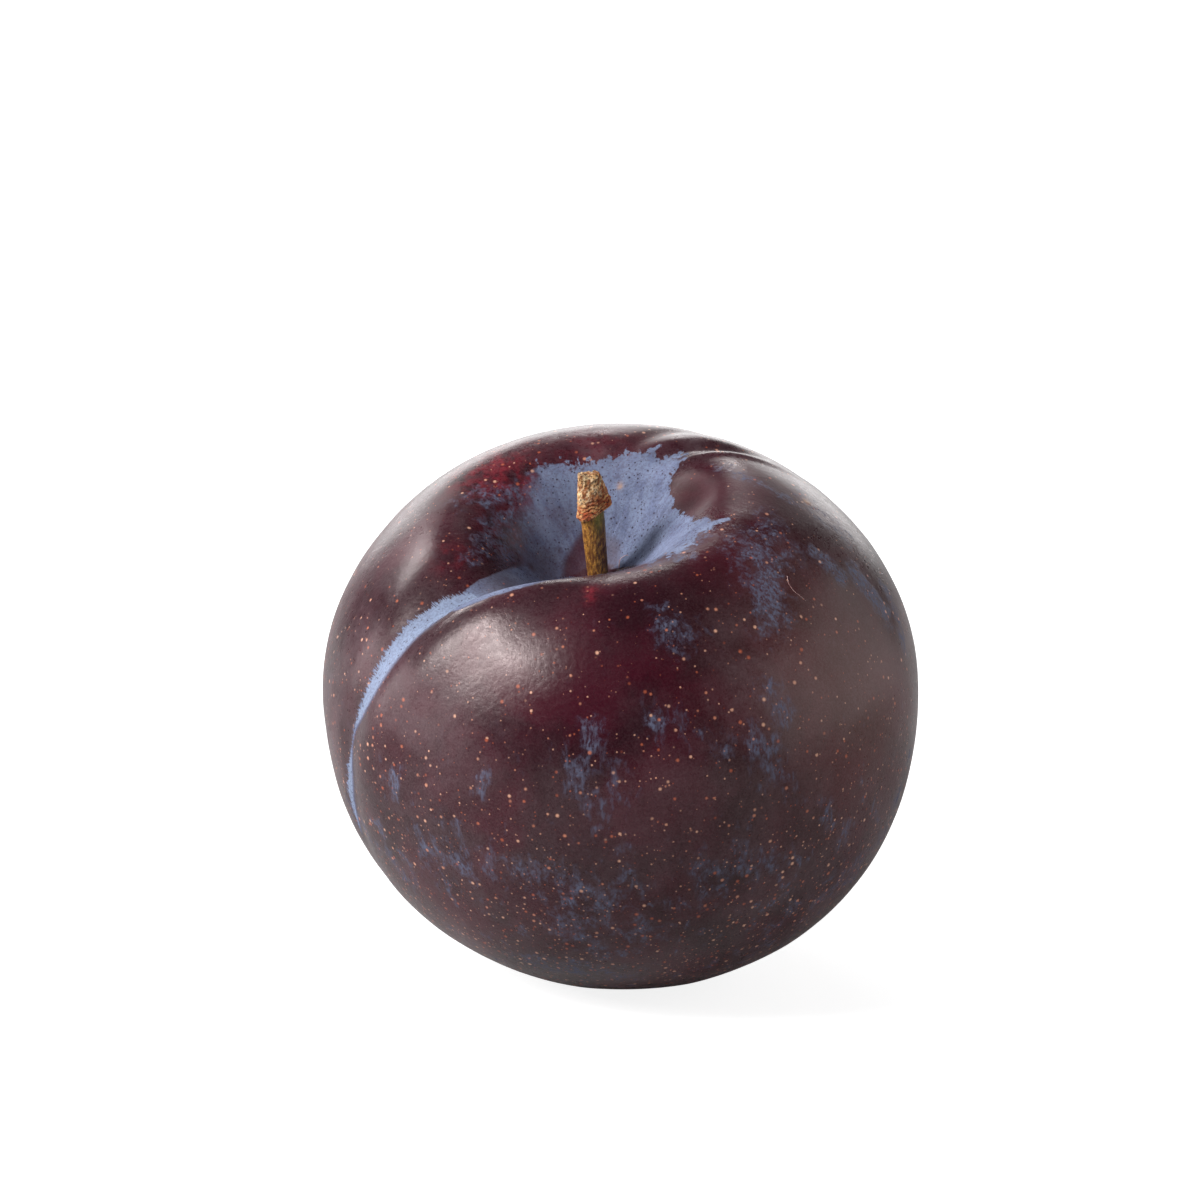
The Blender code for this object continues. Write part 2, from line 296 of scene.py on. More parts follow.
# %% How far each point is inside the whole bloom
HOLLOW_BLOOM = [
    (452, 614), (453, 605), (464, 590), (479, 579), (505, 569), (523, 564), (516, 550), (510, 535),
    (510, 520), (520, 506), (529, 492), (530, 476), (532, 465), (555, 459), (581, 461), (607, 457),
    (626, 453), (649, 449), (661, 447), (657, 456), (671, 457), (688, 455), (684, 465), (675, 474),
    (672, 493), (675, 507), (690, 517), (728, 519), (716, 525), (703, 533), (694, 541), (676, 554),
    (660, 561), (640, 566), (611, 570), (589, 573), (561, 578), (532, 586), (490, 598),
]
SHARP_EDGES = [HOLLOW_BLOOM[-6:] + HOLLOW_BLOOM[:1], HOLLOW_BLOOM[1:6]]  # the lip, and across the valley
HIDDEN_REACH = 13.0 * MM  # the hollow's wall behind the lip is bloomed as far as this from the stalk
VALLEY_HALF_WIDTH, VALLEY_STARTS, VALLEY_ENDS = 5.5, 18.0, 52.0  # mm and degrees: so is the seam's valley
BLOOM_INSIDE, BLOOM_FAR = 1.5, 6.0  # mm from an edge that count as well inside it and as far from it
SAME_PLACE = 0.4 * MM
PIXELS_PER_MM = LENS_PIXELS / (VIEW_DISTANCE / MM)


def distance_to(points, path):
    """Distance in mm from each pixel to a line through the pixels of a path."""
    nearest = np.full(len(points), np.inf)
    corners = np.array(path, float)
    for start, end in zip(corners, corners[1:]):
        side, away = end - start, points - start
        share = np.clip(away @ side / (side @ side), 0.0, 1.0)
        nearest = np.minimum(nearest, np.linalg.norm(away - share[:, None] * side, axis=1))
    return nearest / PIXELS_PER_MM


def is_inside(points, outline):
    inside = np.zeros(len(points), bool)
    corners = np.array(outline, float)
    for start, end in zip(corners, np.roll(corners, -1, axis=0)):
        rise = end[1] - start[1] or 1e-9
        crosses = (start[1] > points[:, 1]) != (end[1] > points[:, 1])
        inside ^= crosses & (points[:, 0] < start[0] + (points[:, 1] - start[1]) * (end[0] - start[0]) / rise)
    return inside


def depth_inside(outline):
    """Distance in mm from each point of the skin to an outline in pixels, negative outside it."""
    away = distance_to(skin_pixels, outline + outline[:1])
    return np.where(is_inside(skin_pixels, outline), away, -away)


def is_seen(index):
    """True where no other part of the skin stands between the point and the camera."""
    target = Vector(skin_places[index])
    place = skin_tree.ray_cast(eye, target - eye)[0]
    return place is None or (place - target).length < SAME_PLACE


near_hollow = (from_stalk < HIDDEN_REACH) & (polars < 90.0)
ring_places = np.hypot(axis_places[:, 0], axis_places[:, 1])
from_seam = np.radians(turn_between(azimuths, seam_azimuth(polars))) * ring_places / MM
in_valley = (np.abs(from_seam) < VALLEY_HALF_WIDTH) & (polars > VALLEY_STARTS) & (polars < VALLEY_ENDS)
seen = faces_eye.copy()
for index in np.flatnonzero((near_hollow | in_valley) & faces_eye):
    seen[index] = is_seen(index)
bloom_edge = depth_inside(HOLLOW_BLOOM)
bloom_edge[~faces_eye | (polars > 90.0)] = -BLOOM_INSIDE
bloom_edge[(near_hollow | in_valley) & ~seen] = BLOOM_INSIDE
bloom_edge = np.clip(bloom_edge, -BLOOM_FAR, BLOOM_FAR)
sharp = 1.0 - smooth_step(0.4, 1.2, np.minimum(*[distance_to(skin_pixels, path) for path in SHARP_EDGES]))
print("points in the hollow's bloom:", int((bloom_edge > 0.0).sum()))

# %% Spots of the skin, given by the pixel where the camera sees them
WORN_SPOTS = {  # middle, radius in mm, strength
    "left oval": ((531, 567), 0.5, 0.8),
    "small oval": ((560, 551), 0.32, 0.6),
    "wall over the valley": ((505, 548), 1.3, 0.6),
    "left wall": ((515, 500), 0.9, 0.45),
    "dashes": ((571, 470), 0.16, 1.0),
    "dashes, middle": ((576, 468), 0.16, 1.0),
    "dashes, right": ((583, 470), 0.16, 1.0),
}
SOFT_SPOTS = {  # where the whole bloom fades out slowly
    "left wall": ((514, 522), 3.0, 1.0),
    "left wall, top": ((530, 488), 1.6, 0.8),
}
THIN_SPOTS = {  # where the whole bloom lets the dark skin through, painting shade in the valley and on the left wall
    "left wall": ((518, 524), 2.4, 0.8),
    "valley": ((505, 585), 2.6, 1.0),
    "valley, right": ((545, 565), 2.0, 0.8),
    "left of the stalk": ((560, 520), 1.6, 0.6),
}
BLEMISHES = {
    "pale scar": ((620, 486), 0.2, 0.8),
    "orange scar": ((807, 502), 0.3, 0.8),
}
REDS = {
    "left of the hollow": ((490, 470), 3.0, 1.0),
    "left of the hollow, low": ((512, 482), 2.2, 0.9),
    "left wall": ((505, 535), 2.0, 0.5),
    "under the lip": ((592, 590), 0.5, 1.0),
    "under the lip, low": ((588, 598), 0.5, 0.8),
    "left lobe": ((452, 555), 1.4, 0.5),
    "rim behind": ((590, 446), 3.0, 0.3),
}
HAZY_SPOTS = {  # where the veil of wax is thickest; at the rims, under the front highlight and on the right it is painted sheen
    "right of the middle": ((758, 668), 5.0, 1.5),
    "over the right shoulder": ((785, 560), 3.5, 1.4),
    "left of the middle": ((400, 705), 5.5, 1.1),
    "left rim": ((352, 640), 4.5, 1.2),
    "below the shoulder": ((500, 645), 3.0, 0.6),
    "right cheek": ((840, 640), 5.0, 0.7),
    "low right": ((700, 900), 5.0, 0.6),
    "top rim": ((600, 433), 3.0, 2.8),
    "top rim, left": ((545, 446), 3.0, 1.6),
    "top rim, right": ((690, 437), 2.6, 2.4),
}
DULL_SPOTS = {  # handled skin without gloss
    "beside the hollow": ((690, 498), 2.6, 1.15),
    "left shoulder": ((446, 498), 2.5, 0.6),
    "left lobe": ((400, 565), 5.0, 0.5),
    "lip": ((642, 566), 1.3, 0.9),
    "lip, middle": ((668, 557), 1.4, 0.9),
    "lip, right": ((698, 541), 1.6, 0.85),
    "right cheek": ((850, 640), 8.0, 0.62),
    "right shoulder": ((770, 495), 5.0, 0.7),
    "top rim": ((640, 436), 3.5, 0.6),
}
BROWN_SPOTS = {  # a painted brownish sheen on the right cheek and beside the hollow
    "right cheek": ((856, 680), 8.0, 0.32),
    "right cheek, upper": ((800, 600), 5.0, 0.16),
    "beside the hollow": ((682, 492), 1.5, 0.06),
}
CLEAN_SPOTS = {  # polished skin without a veil
    "under the lip": ((640, 610), 4.5, 1.0),
    "right of the lip": ((700, 565), 4.5, 1.0),
    "right of the hollow": ((705, 490), 4.0, 1.0),
    "middle": ((650, 660), 4.5, 1.0),
    "dark centre": ((655, 715), 3.5, 0.8),
    "left lobe, top": ((480, 545), 3.5, 0.8),
    "left of the middle": ((582, 716), 4.5, 1.0),
    "lower left of the middle": ((528, 745), 4.0, 0.7),
    "below the shoulder": ((600, 665), 3.5, 0.8),
    "above the shoulder patch": ((742, 520), 3.0, 1.0),
    "right shoulder": ((765, 490), 3.0, 1.0),
    "low middle": ((590, 820), 6.0, 0.5),
}


def spots(table):
    """How strongly the soft spots of a table cover each point of the skin."""
    cover = np.zeros(len(skin_places))
    for name, (pixel, radius, strength) in table.items():
        away = np.linalg.norm(skin_places - on_skin(pixel), axis=1)
        cover = np.maximum(cover, strength * bell(away, radius * MM))
    return cover


worn, soft, thinned, hazy, dull, blemish, redness, browned, clean = [
    spots(table)
    for table in (
        WORN_SPOTS, SOFT_SPOTS, THIN_SPOTS, HAZY_SPOTS, DULL_SPOTS, BLEMISHES, REDS, BROWN_SPOTS, CLEAN_SPOTS,
    )
]
clean = np.maximum(clean, np.where(faces_eye, 0.3, 0.9) * (1.0 - smooth_step(35.0, 75.0, polars)))

# %% Bare skin beside the stalk and at its foot
BARE_LEFT_OF_STALK = [(588, 524), (573, 546), (565, 562), (562, 590), (596, 590), (596, 524)]
BARE_RIGHT_OF_STALK = [(606, 532), (621, 540), (622, 556), (616, 575), (596, 575), (600, 532)]
for outline, strength in ((BARE_LEFT_OF_STALK, 0.95), (BARE_RIGHT_OF_STALK, 0.5)):
    worn = np.maximum(worn, strength * smooth_step(-0.9, 0.6, depth_inside(outline)) * (near_hollow & seen))
FOOT_LEFT = 90.0  # azimuth of the stalk's left side
BARE_LEFT, BARE_RIGHT = (2.6, 3.6), (1.4, 2.6)  # mm from the stalk's middle

round_stalk = np.degrees(np.arctan2(-axis_places[:, 0] - HOLLOW_LEFT, -axis_places[:, 1]))
on_left = 0.5 + 0.5 * np.cos(np.radians(round_stalk - FOOT_LEFT))
bare_from = [BARE_RIGHT[k] + (BARE_LEFT[k] - BARE_RIGHT[k]) * on_left for k in (0, 1)]
at_foot = 1.0 - np.clip((from_stalk / MM - bare_from[0]) / (bare_from[1] - bare_from[0]), 0.0, 1.0)
at_foot[polars > 90.0] = 0.0

# %% The seam's band of bloom
BAND_HALF_WIDTHS = {  # angle from the stalk: mm
    40: 1.2, 50: 1.8, 56: 1.85, 60: 1.8, 66: 1.65, 71: 1.5, 76: 1.15, 80: 0.6, 84: 0.4, 90: 0.9, 97: 1.1,
    104: 0.6, 112: -0.1, 180: -1.0,
}
BAND_OFFSETS = {
    46: 1.0, 50: 0.4, 56: 0.0, 60: -0.3, 66: -0.5, 71: -0.5, 76: -0.3, 80: 0.0, 86: 0.1, 91: 0.6, 97: 1.1,
    104: 0.75, 180: 0.5,
}
BAND_STARTS, BAND_FAR = 40.0, 3.0
SEAM_FAR = 20.0


def along_seam(table):
    return np.interp(polars, list(table), list(table.values()))


seam_across = np.clip(from_seam - along_seam(BAND_OFFSETS), -SEAM_FAR, SEAM_FAR)
seam_along = np.radians(polars) * WIDEST_RADIUS / MM
band_edge = along_seam(BAND_HALF_WIDTHS) - np.abs(seam_across)
band_edge[polars < BAND_STARTS] = -BLOOM_INSIDE
band_edge = np.maximum(band_edge, -BAND_FAR)
print("points in the seam's band:", int((band_edge > 0.0).sum()))

# %% [markdown]
# The smears are short strokes where the bloom was half rubbed off. Each is a stroke between two points of the
# skin, given by where the camera sees them, with a width in millimetres and a strength. The sides that the
# photograph doesn't show get strokes from a seeded draw with the same sizes, mostly running down the fruit.

# %% Strokes of bloom
SMEARS = [  # from, to, width in mm, strength
    # left lobe and the hollow's left wall
    ((487, 500), (530, 492), 1.6, 0.75), ((492, 522), (560, 500), 1.8, 0.8),
    ((480, 540), (520, 520), 1.4, 0.75), ((500, 552), (548, 532), 1.5, 0.8),
    ((470, 560), (500, 548), 1.2, 0.6), ((456, 505), (480, 492), 1.4, 0.5),
    # right of the lip
    ((668, 560), (708, 534), 1.2, 0.7), ((650, 566), (690, 556), 1.0, 0.7),
    ((664, 618), (680, 642), 2.0, 0.6), ((690, 622), (700, 632), 1.2, 0.4),
    ((738, 548), (774, 596), 2.4, 0.5),
    # gathered skin and right shoulder
    ((722, 466), (756, 482), 1.2, 0.6), ((772, 488), (790, 500), 1.2, 0.65),
    ((805, 500), (850, 540), 2.2, 0.6), ((770, 520), (782, 560), 2.0, 0.6),
    ((764, 556), (770, 618), 2.4, 0.9), ((748, 548), (758, 596), 2.6, 0.6),
    ((742, 534), (778, 542), 2.0, 0.55), ((790, 545), (826, 560), 1.4, 0.6),
    ((818, 556), (840, 574), 1.5, 0.95),
    # right limb
    ((858, 576), (884, 612), 1.7, 1.1), ((886, 590), (904, 645), 1.2, 0.85),
    ((884, 835), (900, 790), 1.4, 0.7), ((820, 900), (860, 860), 1.6, 0.6),
    ((824, 802), (832, 824), 1.0, 0.65),
    # middle
    ((770, 688), (786, 716), 1.8, 0.7), ((758, 738), (768, 778), 1.6, 0.75),
    ((774, 742), (786, 786), 1.4, 0.6), ((722, 738), (724, 756), 1.0, 0.55),
    ((655, 714), (658, 728), 1.6, 0.65), ((684, 720), (706, 748), 1.2, 0.45),
    ((594, 724), (592, 744), 1.3, 0.7), ((572, 762), (600, 818), 1.8, 0.6),
    ((610, 766), (622, 790), 1.6, 0.5),
    # left side
    ((394, 768), (393, 796), 1.0, 0.8), ((484, 778), (480, 790), 1.1, 0.65),
    ((389, 853), (413, 889), 1.0, 0.6), ((420, 836), (438, 880), 1.6, 0.65),
    ((436, 850), (470, 870), 2.0, 0.65), ((450, 828), (470, 852), 1.5, 0.4),
    ((352, 806), (376, 846), 1.2, 0.8),
    # low down
    ((470, 860), (560, 880), 3.0, 0.5), ((560, 900), (640, 930), 3.5, 0.5),
    ((530, 960), (620, 975), 2.4, 0.65), ((566, 880), (610, 905), 2.2, 0.65),
    ((560, 925), (600, 950), 2.0, 0.65), ((622, 862), (638, 886), 1.3, 0.5),
    ((700, 870), (780, 860), 2.0, 0.6), ((740, 838), (752, 880), 1.4, 0.6),
    ((690, 900), (720, 890), 1.6, 0.6), ((697, 876), (708, 900), 1.2, 0.5),
]
UNSEEN_STROKES, UNSEEN_FROM, STROKE_STRAYS = 130, 35.0, 0.35
STROKE_LENGTHS, STROKE_WIDTHS, STROKE_STRENGTHS = (0.5, 5.0), (0.8, 2.6), (0.3, 0.8)


def stroke_cover(start, end, width):
    """0 to 1 for each point of the skin: how well a stroke with soft edges covers it."""
    side = end - start
    share = np.clip((skin_places - start) @ side / max(side @ side, 1e-12), 0.0, 1.0)
    away = np.linalg.norm(skin_places - start - share[:, None] * side, axis=1)
    return 1.0 - smooth_step(0.1, 1.7, away / width)


smear = np.zeros(len(skin_places))
for first, last, width, strength in SMEARS:
    smear = np.maximum(smear, strength * stroke_cover(on_skin(first), on_skin(last), width * MM))
unseen = np.flatnonzero(~faces_eye & (bloom_edge < 0.0) & (polars > UNSEEN_FROM))
for index in chance.choice(unseen, UNSEEN_STROKES, replace=False):
    start = skin_places[index]
    down = np.cross(np.cross(normals[index], (0.0, 0.0, -1.0)), normals[index])
    end = start + (down + STROKE_STRAYS * chance.normal(size=3)) * chance.uniform(*STROKE_LENGTHS) * MM
    width, strength = chance.uniform(*STROKE_WIDTHS) * MM, chance.uniform(*STROKE_STRENGTHS)
    smear = np.maximum(smear, strength * stroke_cover(start, end, width))
print("strokes:", len(SMEARS), "seen and", UNSEEN_STROKES, "unseen")

# %% [markdown]
# Colour changes slowly too. Round the hollow the skin is a clear deep burgundy and red where the sun missed
# it, lower down a thin grey veil of wax dulls it, and the pale dots crowd towards the foot.

# %% Slow changes from stalk to foot
# The veil is wax, and its strongest spots paint sheen as colour: the pale grazing reflection along the top
# and left rims, a lighter colour under the front highlight, and a broad sheen on the right
veil = (0.25 + 0.75 * smooth_step(35.0, 85.0, polars)) * (1.0 - 0.85 * clean) + hazy
dotted = smooth_step(12.0, 45.0, polars) * (0.35 + 0.65 * smooth_step(60.0, 125.0, polars))
dotted = np.maximum(dotted, 0.6 * redness)
lowness = smooth_step(62.0, 105.0, polars)
round_turn = np.radians(round_stalk)
RAYS_END = 30.0  # mm from the stalk


def give(piece, **numbers):
    """One number for each point under each name, which the material reads by that name."""
    for name, values in numbers.items():
        layer = piece.data.attributes.new(name, "FLOAT", "POINT")
        layer.data.foreach_set("value", np.asarray(values, np.float32))


give(
    plum_skin, bloom_edge=bloom_edge, sharp=sharp, soft=soft, thinned=thinned, browned=browned, dull=dull,
    band_edge=band_edge, smear=smear, worn=worn, at_foot=at_foot, redness=redness, clean=clean, veil=veil,
    dotted=dotted, lowness=lowness, blemish=blemish, seam_across=seam_across, seam_along=seam_along,
    ray_x=np.cos(round_turn), ray_y=np.sin(round_turn), ray_out=np.minimum(from_stalk / MM, RAYS_END),
)
print("numbers on each point:", len(plum_skin.data.attributes))

# %% [markdown]
# Materials here are node trees written in code. These helpers add a node, do sums, mix colours and stretch
# a range, so that each finish below reads as a short list of layers. They work on the tree in hand, which is
# the one that the name tree stands for when they are called.

# %% Helpers for node trees
def connect(value, socket):
    if isinstance(value, bpy.types.NodeSocket):
        tree.links.new(value, socket)
    elif isinstance(value, tuple) and len(value) == 3 and socket.type == "RGBA":
        socket.default_value = (*value, 1.0)
    else:
        socket.default_value = value


def add(kind, inputs, **settings):
    made = tree.nodes.new(kind)
    for name, value in settings.items():
        setattr(made, name, value)
    for socket, value in inputs.items():
        connect(value, made.inputs[socket])
    return made


def sums(operation, first, second=0.0, clamp=False):
    return add("ShaderNodeMath", {0: first, 1: second}, operation=operation, use_clamp=clamp).outputs[0]


def times(*values):
    product = values[0]
    for value in values[1:]:
        product = sums("MULTIPLY", product, value)
    return product


def vector_of(*parts):
    return add("ShaderNodeCombineXYZ", dict(enumerate(parts))).outputs[0]


def ramp(value, low, high, start=0.0, end=1.0):
    """A smooth rise from start to end as the value goes from low to high."""
    inputs = {"Value": value, "From Min": low, "From Max": high, "To Min": start, "To Max": end}
    return add("ShaderNodeMapRange", inputs, interpolation_type="SMOOTHSTEP").outputs["Result"]


def over(share, below, above):
    """One colour laid over another, as far as the share says."""
    return add("ShaderNodeMix", {0: share, 6: below, 7: above}, data_type="RGBA").outputs[2]


def number_of(name):
    return add("ShaderNodeAttribute", {}, attribute_name=name).outputs["Fac"]


def stretched(place, amounts):
    return add("ShaderNodeVectorMath", {0: place, 1: amounts}, operation="MULTIPLY").outputs[0]


# %% [markdown]
# Two effects are wanted by more than one finish, so each is a node group with its own inputs. Mottle is a
# cloudy noise whose contrast is turned up: it breaks the bloom, streaks the stem and tints the bark. Dots
# scatters round spots of random size and tint: the pale dots of the skin and the dark specks in its bloom.

# %% The mottle group
def new_group(name, numbers, outputs):
    group = bpy.data.node_groups.new(name, "ShaderNodeTree")
    group.interface.new_socket("Place", in_out="INPUT", socket_type="NodeSocketVector")
    for socket, value in numbers.items():
        made = group.interface.new_socket(socket, in_out="INPUT", socket_type="NodeSocketFloat")
        made.default_value = value
    for socket in outputs:
        group.interface.new_socket(socket, in_out="OUTPUT", socket_type="NodeSocketFloat")
    return group, group.nodes.new("NodeGroupInput").outputs, group.nodes.new("NodeGroupOutput").inputs


MOTTLE_NUMBERS = {"Per Metre": 1000.0, "Twist": 0.0, "Low": 0.4, "High": 0.6}
tree, given, result = new_group("Mottle", MOTTLE_NUMBERS, ["Mask"])
noise_inputs = {"Vector": given["Place"], "Scale": given["Per Metre"], "Distortion": given["Twist"]}
cloud = add("ShaderNodeTexNoise", {**noise_inputs, "Detail": 5.0, "Roughness": 0.6})
connect(ramp(cloud.outputs["Fac"], given["Low"], given["High"]), result["Mask"])
mottle_group = tree

# %% The dots group
DOTS_NUMBERS = {"Per Metre": 1000.0, "Radius": 0.2, "Share": 0.5, "Softness": 0.4}
tree, given, result = new_group("Dots", DOTS_NUMBERS, ["Dot", "Tint"])
cells = add("ShaderNodeTexVoronoi", {"Vector": given["Place"], "Scale": given["Per Metre"]})
draws = add("ShaderNodeSeparateColor", {0: cells.outputs["Color"]}).outputs
size = times(given["Radius"], ramp(draws[0], 0.0, 1.0, 0.45, 1.35))
core = times(size, sums("SUBTRACT", 1.0, given["Softness"]))
shape = ramp(cells.outputs["Distance"], size, core)
drawn = sums("LESS_THAN", draws[1], given["Share"])
connect(times(shape, drawn), result["Dot"])
connect(draws[2], result["Tint"])
dots_group = tree


def mottle(place, per_metre, low, high, twist=0.0):
    inputs = {"Place": place, "Per Metre": per_metre, "Twist": twist, "Low": low, "High": high}
    return add("ShaderNodeGroup", inputs, node_tree=mottle_group).outputs["Mask"]


def dots(place, per_metre, radius, share, softness=0.4):
    """The mask of the dots, and a number from 0 to 1 that is the same all over each dot."""
    inputs = {"Place": place, "Per Metre": per_metre, "Radius": radius, "Share": share, "Softness": softness}
    made = add("ShaderNodeGroup", inputs, node_tree=dots_group)
    return made.outputs["Dot"], made.outputs["Tint"]


print("groups:", mottle_group.name, dots_group.name)

# %% [markdown]
# The skin is near-black burgundy under a satin wax. Its layers, from below: burgundy with redder parts, a
# thin grey veil that also paints a pale sheen at the rims and on the right, a painted brownish sheen on the
# right cheek, fine dust and scratches, the rubbed smears, the whole bloom with dark specks and ticks along
# the seam, thinned where it paints shade in the valley and on the hollow's left wall, and the small cream
# and orange dots. Where the skin is polished it is glossy and deep in colour, where it was handled it is
# dull, and the bloom is dullest of all.

# %% The skin's finish
def new_material(name):
    material = bpy.data.materials.new(name)
    material.use_nodes = True
    nodes = material.node_tree.nodes
    place = nodes.new("ShaderNodeTexCoord").outputs["Object"]
    return material, material.node_tree, nodes["Principled BSDF"], place


BURGUNDY, BLACKISH, RED = paint(64, 7, 27), paint(38, 4, 17), paint(128, 24, 40)
VEIL, BROWN, DUST = paint(124, 104, 110), paint(120, 64, 48), paint(170, 142, 146)
SMEAR = paint(106, 116, 144)
BLOOM, BLOOM_DEEP, BLOOM_PALE = paint(128, 140, 172), paint(84, 92, 124), paint(158, 174, 202)
DOT_CREAM, DOT_ORANGE, SCAR = paint(236, 178, 150), paint(210, 108, 74), paint(206, 160, 120)

material, tree, shader, place = new_material("plum_skin")
smeared, clean_here = number_of("smear"), number_of("clean")
across, along = number_of("seam_across"), number_of("seam_along")

# Bare skin
colour = over(mottle(place, 110.0, 0.35, 0.68, 0.4), BLACKISH, BURGUNDY)
reds = times(number_of("redness"), mottle(place, 700.0, 0.35, 0.65), mottle(place, 2600.0, 0.2, 0.6))
colour = over(reds, colour, RED)

# Thin veil of wax with painted sheen at the rims and on the right, and a painted brownish sheen
fine = mottle(place, 1700.0, 0.3, 0.7)
veil_share = times(
    number_of("veil"), ramp(mottle(place, 150.0, 0.3, 0.72, 0.5), 0.0, 1.0, 0.0, 0.18),
    ramp(fine, 0.0, 1.0, 0.6, 1.0),
)
colour = over(veil_share, colour, VEIL)
colour = over(number_of("browned"), colour, BROWN)

# Dust and hair-fine scratches
dust = ramp(mottle(place, 5200.0, 0.32, 0.72), 0.0, 1.0, 0.025, 0.10)
scuffs = mottle(stretched(place, (1.0, 1.0, 0.12)), 4200.0, 0.6, 0.8, 1.5)
dusty = sums("MAXIMUM", dust, times(scuffs, 0.13))
colour = over(times(dusty, ramp(clean_here, 0.0, 1.0, 1.0, 0.35)), colour, DUST)

# Rubbed smears and small scraps
fibrous = mottle(stretched(place, (1.0, 1.0, 0.4)), 3200.0, 0.32, 0.68, 0.3)
patches = mottle(stretched(place, (1.0, 1.0, 0.6)), 900.0, 0.3, 0.7, 0.4)
scraps = times(
    number_of("lowness"), mottle(stretched(place, (1.0, 1.0, 0.5)), 430.0, 0.47, 0.7, 0.5), 0.75,
)
marked = sums("MAXIMUM", smeared, scraps)
torn = sums("ADD", marked, times(sums("SUBTRACT", patches, 0.65), 0.7))
rubbed = times(ramp(torn, 0.15, 1.0), ramp(fibrous, 0.0, 1.0, 0.1, 1.0), 0.78)
colour = over(rubbed, colour, SMEAR)

# Whole bloom: ragged where it is rubbed, sharp at the lip, slow on the left wall, and thinned where it paints
# shade
rays = vector_of(number_of("ray_x"), number_of("ray_y"), times(number_of("ray_out"), 0.05))
streaks = mottle(rays, 11.0, 0.3, 0.7)
torn_edge = times(
    sums("SUBTRACT", times(sums("ADD", streaks, mottle(place, 1500.0, 0.25, 0.75)), 0.5), 0.5),
    ramp(number_of("sharp"), 0.0, 1.0, 1.7, 0.12),
)
slow = number_of("soft")
thin = ramp(number_of("thinned"), 0.0, 1.0, 1.0, 0.42)
edge = sums("ADD", number_of("bloom_edge"), torn_edge)
whole = times(thin, ramp(edge, times(slow, -1.0), ramp(slow, 0.0, 1.0, 0.22, 2.6)))
ticks = mottle(vector_of(along, times(across, 0.22), 0.0), 4.5, 0.3, 0.7)
tick_reach = ramp(across, -0.3, 0.5, 0.12, 0.95)
band = sums("SUBTRACT", number_of("band_edge"), times(ticks, tick_reach))
right_side = ramp(across, 0.2, -0.8)
band = ramp(band, ramp(right_side, 0.0, 1.0, -0.08, -0.25), ramp(right_side, 0.0, 1.0, 0.25, 0.8))
whole = sums("MAXIMUM", whole, band)
bare_foot = ramp(sums("ADD", number_of("at_foot"), times(sums("SUBTRACT", fine, 0.5), 0.35)), 0.15, 0.75)
whole = times(
    whole, ramp(number_of("worn"), 0.1, 0.9, 1.0, 0.12), ramp(bare_foot, 0.0, 1.0, 1.0, 0.1),
)
bloom_colour = over(times(mottle(place, 300.0, 0.3, 0.7), 0.8), BLOOM, BLOOM_DEEP)
bloom_colour = over(times(streaks, 0.35), bloom_colour, BLOOM_PALE)
bloom_colour = over(times(band, ramp(number_of("band_edge"), 0.2, 0.9, 0.0, 0.6)), bloom_colour, BLOOM_PALE)
grain = mottle(place, 4200.0, 0.36, 0.6)
colour = over(times(whole, ramp(grain, 0.0, 1.0, 0.66, 0.94)), colour, bloom_colour)
speck = dots(place, 3300.0, 0.34, 0.4)[0]
colour = over(times(speck, whole, 0.75), colour, BLACKISH)

# Pale dots and scars
bare = sums("SUBTRACT", 1.0, whole, clamp=True)
dotted_here = number_of("dotted")
for per_metre, radius, share, strength in ((1350.0, 0.27, 0.8, 0.95), (2500.0, 0.26, 0.62, 0.75)):
    dot, dot_tint = dots(place, per_metre, radius, times(dotted_here, share), 0.75)
    dot_colour = over(ramp(dot_tint, 0.1, 0.8), DOT_CREAM, DOT_ORANGE)
    colour = over(times(dot, bare, ramp(dot_tint, 0.0, 1.0, strength, 0.6 * strength)), colour, dot_colour)
colour = over(number_of("blemish"), colour, SCAR)
connect(colour, shader.inputs["Base Color"])

# Gloss and relief
waxy = sums("MAXIMUM", whole, rubbed)
gloss = sums("ADD", ramp(clean_here, 0.0, 1.0, 0.27, 0.22), times(fine, 0.06))
gloss = sums("MAXIMUM", gloss, times(number_of("dull"), 0.75))
connect(ramp(waxy, 0.0, 1.0, gloss, 0.85), shader.inputs["Roughness"])
relief = sums("ADD", times(fine, 0.28), times(waxy, 0.5))
bump = add("ShaderNodeBump", {"Height": relief, "Distance": 0.045 * MM, "Strength": 0.7})
connect(bump.outputs["Normal"], shader.inputs["Normal"])
shader.inputs["IOR"].default_value = 1.42
shader.inputs["Specular Tint"].default_value = (*paint(255, 238, 236), 1.0)
shader.inputs["Sheen Weight"].default_value = 0.02
shader.inputs["Sheen Roughness"].default_value = 0.45
shader.inputs["Sheen Tint"].default_value = (*paint(214, 196, 200), 1.0)
plum_skin.data.materials.append(material)

# %% [markdown]
# The stalk is a slender stem that ends in a woody knob, where it broke off the twig. On the real one the
# knob's bark is cracked and scuffed, a collar of folds hangs over the stem, and the stem is smooth and
# fibrous. It is made as rings up a line: each fold is a bulge that steps in over the next one, and noise in
# the rings' radius draws the cracks and fibres. Where the cracks and the steps under the folds lie is kept
# for the material, which paints shade into them.

# %% The stalk's shape, as in its solid
STALK_LENGTH, STALK_RADIUS, STALK_LEAN = 14.6 * MM, 1.02 * MM, 0.8
END_PLAY = 0.3 * MM
COLLAR_HEIGHT, COLLAR_TILT, COLLAR_STANDS_OUT = 10.6 * MM, 0.8 * MM, 0.22 * MM
KNOB_RADIUS, KNOB_TIP_RADIUS = 1.5 * MM, 1.06 * MM
FOLDS_REACH = 2.2 * MM
CROWNS, CROWN_WANDERS = 0.2 * MM, 0.16 * MM
KNOB_SHIFT = 0.18 * MM  # how far the collar stands to the right of the stem


def above_collar(height, around):
    return height - COLLAR_HEIGHT - COLLAR_TILT * np.cos(around)


